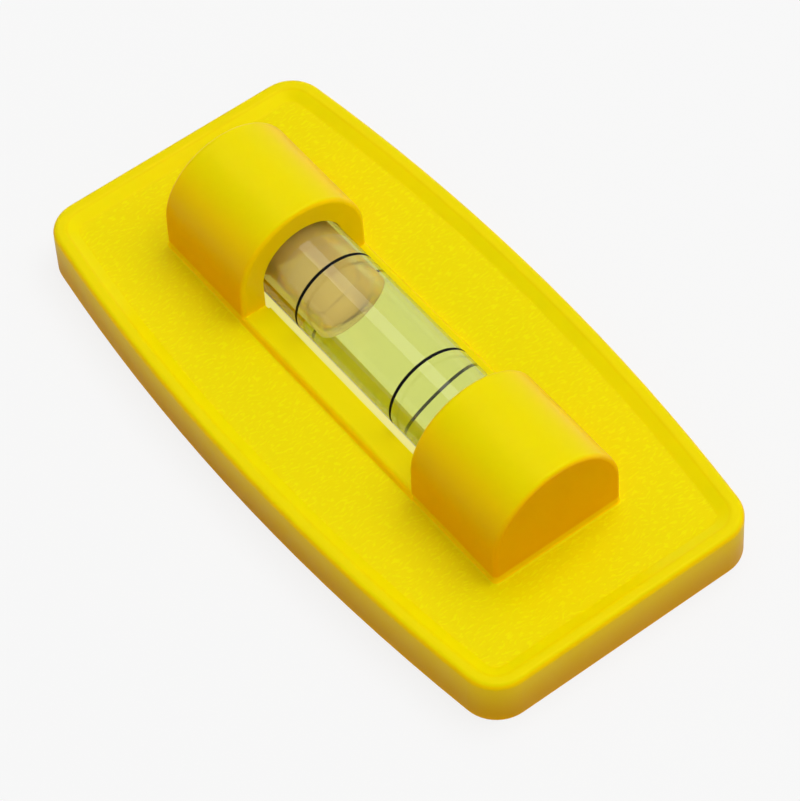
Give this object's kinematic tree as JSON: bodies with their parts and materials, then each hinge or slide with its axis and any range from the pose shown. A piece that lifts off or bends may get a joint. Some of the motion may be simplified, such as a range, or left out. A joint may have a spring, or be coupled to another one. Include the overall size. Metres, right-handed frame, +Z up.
{
  "type": "plate-mounted tubular spirit level",
  "caption": "Small moulded plate level: a clear tubular vial with liquid, bubble and index lines, snapped into two arched housings on a rimmed, round-cornered plate.",
  "frame": {"origin": "middle of the underside, below the middle of the plate", "axes": "+X along the vial, away from the end where the bubble rests; +Y across the plate; +Z up, out of the plate's field"},
  "size_m": [0.06, 0.0306, 0.0133],
  "materials": {
    "yellow_moulding": "satin moulded plastic, with a fine texture on the field inside the rim",
    "clear_acrylic": "clear and polished",
    "vial_liquid": "clear yellow-green liquid",
    "air": "air inside the liquid",
    "black_paint": "flat black paint"
  },
  "bodies": {
    "level": {"body_moulding": "yellow_moulding", "vial_barrel": "clear_acrylic", "vial_plug": "clear_acrylic", "vial_liquid": "vial_liquid", "index_line_left": "black_paint", "index_line_right": "black_paint"},
    "bubble": {"air_bubble": "air"}
  },
  "joints": [
    {"name": "bubble_slide", "type": "slide", "parent": "level", "child": "bubble", "axis": [1, 0, 0], "range_m": [0, 0.01626], "deforming": ["vial_liquid"]}
  ]
}
